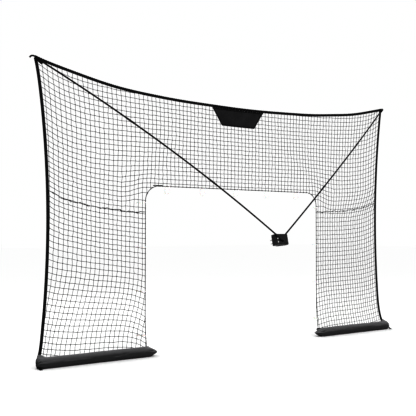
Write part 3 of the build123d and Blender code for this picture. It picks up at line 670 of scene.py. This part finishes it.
cord_lashings = []
PANELS = (("upper", "upper_net"), ("left", "left_lower_net"), ("right", "right_lower_net"))
for panel, replaced in PANELS:
    cords = Shape()
    lines = []
    for r in range(len(ROWS)):
        middles = (knots[r, 1:] + knots[r, :-1]) / 2
        middles[:, 2] -= row_sag[r, 1:]
        lines.append(half_steps(knots[r], middles))
    for c in range(len(COLUMNS)):
        middles = (knots[1:, c] + knots[:-1, c]) / 2
        middles[:, 0] += column_sway[1:, c]
        line = half_steps(knots[:, c], middles)
        foot = line[0] + (line[0] - line[2])
        lines.append(np.vstack([foot, line]))
    for line in lines:
        for run in runs(line, panel):
            cords.sweep(run, ring(TWINE, 6), (0, 1, 0))
            for end in (run[0], run[-1]):
                if opening_distance(end[0], end[2]) < 0.004:
                    cord_lashings.append(end)
    cords.make(f"{panel}_mesh_cords", twine, "net_twine", replaces=[replaced])

    flat = knots.reshape(-1, 3)
    flat = np.array([p for p in flat if inside(p, panel)])
    angle = rng.normal(0, 0.25, len(flat))
    rng.choice([-1.0, 1.0], len(flat))  # not used, but it keeps the later draws as they are
    cosine, sine = np.cos(angle), np.sin(angle)
    zero, one = np.zeros(len(flat)), np.ones(len(flat))
    turns = np.stack([
        np.stack([cosine, zero, sine], 1), np.stack([zero, one, zero], 1),
        np.stack([-sine, zero, cosine], 1),
    ], 1)
    ties = Shape()
    ties.copies(knot_shape, flat, turns, rng.uniform(0.92, 1.1, len(flat)))
    ties.make(f"{panel}_mesh_knots", twine, "net_twine")

# ---------------------------------------------------------------- top border, a whipped core
def top_line(inset, low=-TOP_CORNER, high=TOP_CORNER, step=0.02):
    """The top border's curve, moved down by inset."""
    x = np.linspace(low, high, int((high - low) / step) + 1)
    return np.stack([x, 0 * x, top_z(x) - inset], 1)


core = Shape()
core_line = top_line(BORDER / 2)
core.sweep(core_line, ring(1.0, 14, BORDER / 2 - 0.001, 0.0044), (0, 1, 0))
core.make("top_border_core", webbing, "edge_webbing", replaces=["top_border"])

WHIP_PITCH = 0.018
WHIP_STEPS = 16  # points in one turn of the whipping
whip_end = TOP_CORNER - 0.004
whip = Shape()
whip_line = resample(top_line(BORDER / 2, -whip_end, whip_end), WHIP_PITCH / WHIP_STEPS)
side, face, _ = frames(whip_line, (0, 1, 0))
angle = (np.arange(len(whip_line)) * 2 * math.pi / WHIP_STEPS)[:, None]
winding = side * np.cos(angle) * (BORDER / 2 - 0.0004) + face * np.sin(angle) * 0.0050
out = side * np.cos(angle) * 0.5 + face * np.sin(angle)
whip.sweep(whip_line + winding, ring(1.0, 6, 0.0022, 0.0011), unit(out))
whip.make("top_border_whipping", lace_twine, "edge_webbing")

# ---------------------------------------------------------------- side borders, stitched webbing
border_thread = Shape()
for sign, name in ((-1, "left"), (1, "right")):
    z = np.linspace(2.130, REST_Z, 90)
    flare = 0.018 * np.exp(-(z - REST_Z) / 0.055)
    if sign < 0:
        flare = flare + 0.009 * np.exp((z - CORNER_HEIGHT) / 0.07)
    x = sign * (side_x(z) + flare - BORDER / 2)
    line = np.stack([x, back_y(z), z], 1)
    foot = np.array([
        (1.8160, -0.0270, 0.0580), (1.8230, -0.0370, 0.0540), (1.8295, -0.0460, 0.0465),
        (1.8340, -0.0520, 0.0370), (1.8350, -0.0550, 0.0240), (1.8325, -0.0560, 0.0110),
        (1.8290, -0.0560, 0.0030),
    ]) * (sign, 1, 1)
    outwards = np.tile((0.0, -1.0, 0.0), (len(line), 1))
    foot_out = unit(np.array([
        (0.1, -0.7, 0.9), (0.3, -0.5, 0.9), (0.6, -0.3, 0.7), (0.9, -0.2, 0.4),
        (1.0, -0.1, 0.0), (1.0, -0.1, 0.0), (1.0, -0.1, 0.0),
    ]) * (sign, 1, 1))
    whole = np.vstack([line, foot])
    facing = np.vstack([outwards, foot_out])
    strap = Shape()
    thin = np.concatenate([np.ones(len(line)), np.linspace(0.9, 0.5, len(foot))])
    strap.sweep(whole, strap_section(BORDER, 0.0064, 0.0016), facing, scale=thin)
    strap.make(
        f"{name}_border_webbing", webbing, "edge_webbing", replaces=[f"{name}_border"], sharp=50
    )
    for shift in (-0.0072, 0.0072):
        for look in ((0, -1, 0), (0, 1, 0)):
            stitches(border_thread, line[1:-1] + (shift, 0, 0), look, 0.006, 0.0004, 0.0031)
border_thread.make("border_stitching", thread, "edge_webbing")

# ---------------------------------------------------------------- cord round the opening
z_up = np.linspace(REST_Z, OPEN_TOP - OPEN_CORNER, 60)
left_up = np.stack([np.full(60, -OPEN_X), back_y(z_up), z_up], 1)
bend = np.linspace(math.pi, math.pi / 2, 14)[1:]
corner = np.stack([
    -OPEN_X + OPEN_CORNER + OPEN_CORNER * np.cos(bend), 0 * bend,
    OPEN_TOP - OPEN_CORNER + OPEN_CORNER * np.sin(bend),
], 1)
half = np.vstack([left_up, corner])
other = half[::-1] * (-1, 1, 1)
opening_path = np.vstack([half, other])
opening = Shape()
rope(opening, opening_path, 0.00135, 0.00115, 0.017)
opening.make("opening_rope", rope_twine, "net_twine", replaces=["opening_cord"])

lashing = Shape()
fine_path = resample(opening_path, 0.004)
_, _, fine_tangent = frames(fine_path)
for end in cord_lashings:
    nearest = int(np.argmin(np.sum((fine_path - end) ** 2, 1)))
    tangent = fine_tangent[nearest]
    side = unit(np.cross(tangent, (0, 1, 0)))
    for shift in (-0.0011, 0.0011):
        angle = np.arange(9) * 2 * math.pi / 9
        loop = side * np.cos(angle)[:, None] + np.cross(tangent, side) * np.sin(angle)[:, None]
        lashing.sweep(
            fine_path[nearest] + tangent * shift + loop * 0.0033, ring(0.0010, 5), closed=True
        )
cord_end = np.array([
    (-0.850, 0.003, 1.2835), (-0.815, 0.004, 1.2850),
    (-0.790, 0.004, 1.2845), (-0.762, 0.006, 1.2875),
])
lashing.sweep(resample(cord_end, 0.006), ring(0.0030, 7))
lashing.make("opening_lashings", lace_twine, "net_twine")

# ---------------------------------------------------------------- laced seams
WRAP_STEPS = 20  # points in one turn of the lacing, which goes once round each cell
LOOP_EVERY = 76  # points from one knot of the lacing to the next
lace_tail = np.array([(0, 0, -0.003), (0.004, -0.003, -0.008), (0.006, -0.004, -0.014)])
around = np.arange(10) * 2 * math.pi / 10
lace_loop = np.stack([0.0006 * np.sin(around), 0.0036 * np.sin(around), 0.0052 * np.cos(around)], 1)
for sign, name in ((-1, "left"), (1, "right")):
    x = np.linspace(OPEN_X + 0.001, 1.745, 160)
    x = x[x < side_x(seam_z(sign * x)) - BORDER - 0.001]
    wobble = 0.0030 * np.sin(x * 61) + 0.0022 * np.sin(x * 23 + sign) + 0.0012 * np.sin(x * 137)
    line = np.stack([sign * x, 0.0012 * np.sin(x * 47), seam_z(sign * x) + wobble], 1)
    lacing = Shape()
    rope(lacing, line + (0, 0.0006, 0.0007), 0.0008, 0.0006, 0.012, steps=7)
    rope(lacing, line - (0, 0.0006, 0.0007), 0.0008, 0.0006, 0.012, steps=7)
    wrap_line = resample(line, CELL / WRAP_STEPS)
    side, face, _ = frames(wrap_line, (0, 1, 0))
    angle = (np.arange(len(wrap_line)) * 2 * math.pi / WRAP_STEPS)[:, None]
    loops = side * np.cos(angle) * 0.0032 + face * np.sin(angle) * 0.0028
    lacing.sweep(wrap_line + loops, ring(0.0007, 5))
    for at in range(40, len(wrap_line) - 10, LOOP_EVERY):
        for shift in (0, 2):
            lacing.sweep(wrap_line[at + shift] + lace_loop, ring(0.0009, 5), closed=True)
        lacing.sweep(wrap_line[at] + lace_tail, ring(0.0009, 5))
    lacing.make(f"{name}_lacing", lace_twine, "edge_webbing", replaces=[f"{name}_seam_lacing"])

# ---------------------------------------------------------------- the patch, its hem and stitches
PATCH_HEIGHT = 0.140
PATCH_TOP_HALF = 0.275
PATCH_TAPER = 0.100
PATCH_THICKNESS = 0.0012


def patch_point(across, down):
    """A point of the patch: across from -1 to 1, and down from 0 to 1."""
    half_width = PATCH_TOP_HALF - PATCH_TAPER * down
    x = across * half_width
    top = top_z(x) - BORDER - 0.0005
    z = top - down * PATCH_HEIGHT
    y = -0.0042 - 0.0012 * np.sin(9 * x + 2 * down) * np.sin(math.pi * down)
    grid = np.exp(-((x / CELL - np.round(x / CELL)) ** 2) * 180) + np.exp(
        -((z / CELL - np.round(z / CELL)) ** 2) * 180
    )
    return np.stack([x, y - 0.0005 * grid, z], -1)


across, down = np.meshgrid(np.linspace(-1, 1, 141), np.linspace(0, 1, 41))
back = patch_point(across, down)
front = back + np.array([0, PATCH_THICKNESS, 0])
rows, columns = across.shape
index = np.arange(rows * columns).reshape(rows, columns)
back_quads = np.stack([index[:-1, :-1], index[1:, :-1], index[1:, 1:], index[:-1, 1:]], -1)
back_quads = back_quads.reshape(-1, 4)
rim = np.concatenate([index[:, 0], index[-1, 1:], index[-2::-1, -1], index[0, -2:0:-1]])
shift = rows * columns
rim_next = np.roll(rim, -1)
rim_quads = np.stack([rim, rim + shift, rim_next + shift, rim_next], 1)
patch_points = np.vstack([back.reshape(-1, 3), front.reshape(-1, 3)])
patch_faces = np.vstack([back_quads, back_quads[:, ::-1] + shift, rim_quads])
patch_uv = patch_points[:, [0, 2]][patch_faces]
patch = Shape()
patch.add(patch_points, [(patch_faces, patch_uv)])
patch_piece = patch.make(
    "patch_panel", patch_cloth, "patch_fabric", replaces=["top_patch"], sharp=60
)

hem = Shape()
hem_thread = Shape()
edge_steps = np.linspace(0, 1, 40)
still = 0 * edge_steps
PATCH_EDGES = (
    patch_point(still - 1, edge_steps), patch_point(2 * edge_steps - 1, still + 1),
    patch_point(still + 1, 1 - edge_steps), patch_point(1 - 2 * edge_steps, still),
)
centre = patch_point(np.array(0.0), np.array(0.5))
for edge in PATCH_EDGES:
    inwards = unit(centre - edge.mean(0))
    tangent = unit(edge[-1] - edge[0])
    inwards = unit(inwards - tangent * inwards.dot(tangent))
    hem.sweep(edge + inwards * 0.0055 + (0, 0.0006, 0), strap_section(0.012, 0.0036), (0, -1, 0))
    for along in (0.0025, 0.0090):
        for y, look in ((-0.0012, (0, -1, 0)), (0.0024, (0, 1, 0))):
            row = edge[1:-1] + inwards * along + (0, y, 0)
            stitches(hem_thread, row, look, 0.005, 0.00038, 0.0002)
hem_piece = hem.make("patch_hem", webbing, "patch_fabric", sharp=50)
hem_thread_piece = hem_thread.make("patch_stitching", thread, "patch_fabric")

# ---------------------------------------------------------------- corner pockets and the loose tail
def bake(piece):
    """Apply every modifier of a piece to its mesh."""
    graph = bpy.context.evaluated_depsgraph_get()
    done = bpy.data.meshes.new_from_object(piece.evaluated_get(graph))
    piece.modifiers.clear()
    piece.data = done


def remesh(piece, voxel):
    """Give a piece small even faces."""
    modifier = piece.modifiers.new("remesh", "REMESH")
    modifier.mode = "VOXEL"
    modifier.voxel_size = voxel
    bake(piece)


def read_points(mesh):
    """A mesh's points as rows."""
    out = np.empty(len(mesh.vertices) * 3)
    mesh.vertices.foreach_get("co", out)
    return out.reshape(-1, 3)


def read_normals(mesh):
    """A mesh's normals as rows."""
    out = np.empty(len(mesh.vertices) * 3)
    mesh.vertices.foreach_get("normal", out)
    return out.reshape(-1, 3)


def write_points(mesh, points):
    """Move a mesh's points."""
    mesh.vertices.foreach_set("co", points.ravel())
    mesh.polygons.foreach_set("use_smooth", [True] * len(mesh.polygons))
    mesh.update()


def crumple(piece, waves):
    """Push points along their normals with smooth noise: (waves per metre, distance) pairs."""
    points = read_points(piece.data)
    normals = read_normals(piece.data)
    push = np.zeros(len(points))
    for per_metre, distance in waves:
        push += distance * np.array([noise.noise(Vector(p * per_metre)) for p in points])
    write_points(piece.data, points + normals * push[:, None])


for sign, name in ((-1, "left"), (1, "right")):
    solid = f"{name}_corner_pocket"
    pocket = place(
        nodes[solid].data.copy(), f"{name}_pocket", corner_cloth, replaces=[solid]
    )
    remesh(pocket, 0.0011)
    smoother = pocket.modifiers.new("smooth", "SMOOTH")
    smoother.iterations = 3
    bake(pocket)
    crumple(pocket, ((60, 0.0010), (170, 0.0006)))

tail = Shape()
tail_line = np.array([
    (-1.833, 0.0005, 2.1370), (-1.844, 0.0005, 2.1410), (-1.854, 0.0, 2.1420),
    (-1.864, -0.001, 2.1395),
    (-1.872, -0.002, 2.1340), (-1.878, -0.003, 2.1260),
])
tail.sweep(resample(tail_line, 0.003), strap_section(0.011, 0.0026), (0, -1, 0))
tail.make("left_tail", webbing, "edge_webbing", replaces=["left_corner_tail"], sharp=50)

# ---------------------------------------------------------------- floor sleeves
SLEEVE_SIDES = 40
SLEEVE_SHRINK = 0.0030  # room for the cover to swell
SWELL = 0.0050  # the furthest that pressure may move the cover
CLOTH_PRESSURE = 4.0
CLOTH_FRAMES = 20
TIP_X = 0.852
TIP_HALF_WIDE, TIP_HALF_TALL, TIP_HEIGHT = 0.034, 0.004, 0.032
ROUNDING_X = 1.798  # the outer end's rounding starts here
ROUNDING = 0.0375


def sleeve_shape(sign):
    """One sleeve's closed skin, a little smaller than the CAD's."""
    stations = np.concatenate([
        [0.854, 0.858, 0.866, 0.878, 0.893, 0.910, 0.930, 0.950], np.arange(0.970, 1.795, 0.012),
        [1.800, 1.808, 1.815, 1.821, 1.826, 1.830, 1.833, 1.835],
    ])
    shape = Shape()
    rings = []
    for x in stations:
        open_up = smooth(x, 0.836, 0.945)
        half_wide = TIP_HALF_WIDE + (SLEEVE_RADIUS - TIP_HALF_WIDE) * open_up
        half_tall = TIP_HALF_TALL + (SLEEVE_RADIUS - TIP_HALF_TALL) * open_up
        centre_z = TIP_HEIGHT + (SLEEVE_AXIS - TIP_HEIGHT) * open_up
        if x > ROUNDING_X:
            close = math.sqrt(max(0.0, 1 - ((x - ROUNDING_X) / ROUNDING) ** 2))
            half_wide *= 0.25 + 0.75 * close
            half_tall *= 0.25 + 0.75 * close
            centre_z += 0.004 * (1 - close)
        tip = math.sqrt(min(1.0, (x - TIP_X) / 0.020))
        angle = np.arange(SLEEVE_SIDES) * 2 * math.pi / SLEEVE_SIDES
        y = SLEEVE_Y + np.cos(angle) * (half_wide * tip - SLEEVE_SHRINK)
        tall = np.maximum(half_tall * tip - SLEEVE_SHRINK, 0.0015)
        z = np.maximum(centre_z + np.sin(angle) * tall, 0.0015)
        rings.append(np.stack([np.full(SLEEVE_SIDES, sign * x), y, z], 1))
    n, m = len(rings), SLEEVE_SIDES
    points = np.vstack(rings + [rings[0].mean(0, keepdims=True), rings[-1].mean(0, keepdims=True)])
    i, k = np.meshgrid(np.arange(n - 1), np.arange(m), indexing="ij")
    i, k = i.ravel(), k.ravel()
    kk = (k + 1) % m
    quads = np.stack([i * m + k, (i + 1) * m + k, (i + 1) * m + kk, i * m + kk], 1)
    k = np.arange(m)
    kk = (k + 1) % m
    start = np.stack([np.full(m, n * m), k, kk], 1)
    end = np.stack([np.full(m, n * m + 1), (n - 1) * m + kk, (n - 1) * m + k], 1)
    if sign > 0:
        quads, start, end = quads[:, ::-1], start[:, ::-1], end[:, ::-1]
    groups = [(f, np.zeros(f.shape + (2,))) for f in (quads, start, end)]
    shape.add(points, groups)
    return shape


def inflate(piece, cap):
    """Swell a closed piece with cloth pressure, moving no point further than cap."""
    before = read_points(piece.data)
    cloth = piece.modifiers.new("cloth", "CLOTH")
    settings = cloth.settings
    settings.use_pressure = True
    settings.uniform_pressure_force = CLOTH_PRESSURE
    settings.effector_weights.gravity = 0
    settings.tension_stiffness = 12
    settings.compression_stiffness = 6
    settings.bending_stiffness = 0.4
    cloth.point_cache.frame_start = 1
    cloth.point_cache.frame_end = CLOTH_FRAMES
    for step in range(1, CLOTH_FRAMES + 1):
        bpy.context.scene.frame_set(step)
    graph = bpy.context.evaluated_depsgraph_get()
    swollen = read_points(piece.evaluated_get(graph).data)
    piece.modifiers.clear()
    bpy.context.scene.frame_set(1)
    move = swollen - before
    length = np.linalg.norm(move, axis=1, keepdims=True)
    move = move * np.minimum(1, cap / np.maximum(length, 1e-9))
    write_points(piece.data, before + move)


hem_strap = Shape()
sleeve_thread = Shape()
for sign, name in ((-1, "left"), (1, "right")):
    sleeve = sleeve_shape(sign).make(
        f"{name}_sleeve", sleeve_cloth, "sleeve_fabric",
        replaces=[f"{name}_sleeve_cover", f"{name}_sleeve_flap"],
    )
    remesh(sleeve, 0.0065)
    inflate(sleeve, SWELL)
    division = sleeve.modifiers.new("divide", "SUBSURF")
    division.levels = division.render_levels = 1
    bake(sleeve)
    skin = read_points(sleeve.data)
    normals = read_normals(sleeve.data)
    along = np.abs(skin[:, 0])
    near_ends = np.maximum(1 - smooth(along, 0.86, 1.02), smooth(along, 1.75, 1.83))
    around = np.arctan2(skin[:, 2] - SLEEVE_AXIS, skin[:, 1] - SLEEVE_Y)
    folds = np.array([
        noise.noise(Vector((a * 9, t * 2.2, sign * 3.7))) * 0.0022
        + noise.noise(Vector((a * 30, t * 1.4, 8.1))) * 0.0009 for a, t in zip(along, around)
    ])
    gathers = np.sin(around * 11 + np.sin(along * 60)) * 0.0016 * near_ends
    skin = skin + normals * (folds + gathers * (skin[:, 2] > 0.006))[:, None]

    # the cover is drawn out to its hem
    hem = np.exp(-(((around - REST_ANGLE) / 0.17) ** 2))
    hem = hem * smooth(along, 0.885, 0.925) * (1 - smooth(along, 1.770, 1.800))
    reach = np.hypot(skin[:, 1] - SLEEVE_Y, skin[:, 2] - SLEEVE_AXIS)
    lift = np.maximum(HEM_REACH - reach, 0) * hem
    skin[:, 1:] += lift[:, None] * np.array([math.cos(REST_ANGLE), math.sin(REST_ANGLE)])

    # it rises to the side border near its outer end
    horn = smooth(along, 1.735, 1.805) ** 2 * (1 - smooth(along, 1.812, 1.836))
    horn = horn * smooth(skin[:, 2], 0.045, 0.065)
    horn = horn * smooth(skin[:, 1], SLEEVE_Y - 0.020, SLEEVE_Y + 0.015)
    skin[:, 2] += 0.022 * horn
    skin[:, 1] += (REST_Y - skin[:, 1]) * 0.75 * horn

    # it stays outside the sand bag, and lies flat on the floor
    offset = skin[:, 1:] - (SLEEVE_Y, SAND_AXIS)
    distance = np.maximum(np.linalg.norm(offset, axis=1), 0.001)
    filled = smooth(along, 0.960, 0.980) * (1 - smooth(along, 1.808, 1.828))
    short = np.maximum(SAND_CLEAR + 0.4 * folds - distance, 0) * filled
    skin[:, 1:] += offset * (short / distance)[:, None]
    flattened = 0.0006 + 0.3 * np.maximum(skin[:, 2], 0)
    skin[:, 2] = np.where(skin[:, 2] < 0.0022, flattened, skin[:, 2])
    write_points(sleeve.data, skin)

    x = np.linspace(0.905, 1.780, 60)
    hang_line = np.stack([sign * x, 0 * x + REST_Y + 0.0012, 0 * x + REST_Z + 0.0012], 1)
    seam_normal = (0, math.cos(REST_ANGLE), math.sin(REST_ANGLE))
    hem_strap.sweep(hang_line, strap_section(0.016, 0.0030), seam_normal)
    for shift in (-0.0052, 0.0052):
        slide = np.array([0, -math.sin(REST_ANGLE), math.cos(REST_ANGLE)]) * shift
        stitches(sleeve_thread, hang_line + slide, seam_normal, 0.006, 0.0004, 0.0015)

    tab = Shape()
    tab_line = np.array([
        (1.828, -0.0760, 0.0200), (1.829, -0.0860, 0.0110), (1.829, -0.0940, 0.0050),
        (1.828, -0.1010, 0.0025), (1.827, -0.1080, 0.0018), (1.826, -0.1140, 0.0016),
    ]) * (sign, 1, 1)
    tab.sweep(resample(tab_line, 0.002), strap_section(0.018, 0.0028), (0, -0.4, 1.0))
    tab.make(f"{name}_tab", webbing, "edge_webbing", replaces=[f"{name}_sleeve_tab"], sharp=50)
hem_strap.make("sleeve_hems", webbing, "edge_webbing", sharp=50)
sleeve_thread.make("sleeve_stitching", thread, "edge_webbing")

# ---------------------------------------------------------------- floor and light
floor_mesh = bpy.data.meshes.new("floor")
far = 40
floor_corners = [(-far, -far, 0), (far, -far, 0), (far, far, 0), (-far, far, 0)]
floor_mesh.from_pydata(floor_corners, [], [(0, 1, 2, 3)])
floor = bpy.data.objects.new("floor", floor_mesh)
bpy.context.scene.collection.objects.link(floor)
floor_material, _, _ = new_material("floor", (0.99, 0.99, 0.99), 0.9, Specular_IOR_Level=0.0)
floor_mesh.materials.append(floor_material)

world = bpy.data.worlds.new("world")
world.use_nodes = True
world.node_tree.nodes["Background"].inputs[0].default_value = (1, 1, 1, 1)
world.node_tree.nodes["Background"].inputs[1].default_value = 1.0
bpy.context.scene.world = world


def softbox(name, location, target, size, power):
    """A large soft light that looks at a target."""
    light = bpy.data.lights.new(name, "AREA")
    light.shape = "RECTANGLE"
    light.size, light.size_y = size
    light.energy = power
    lamp = bpy.data.objects.new(name, light)
    bpy.context.scene.collection.objects.link(lamp)
    lamp.location = location
    aim = Vector(target) - Vector(location)
    lamp.rotation_mode = "QUATERNION"
    lamp.rotation_quaternion = aim.to_track_quat("-Z", "Y")


softbox("key", (-3.5, -4.5, 4.5), (0, 0, 0.8), (1.2, 1.2), 60)
softbox("fill", (4.5, -3.0, 3.5), (0.5, 0, 0.8), (3.0, 3.0), 30)
softbox("rim", (0.0, 4.5, 4.0), (0, 0, 0.8), (4.0, 2.5), 30)
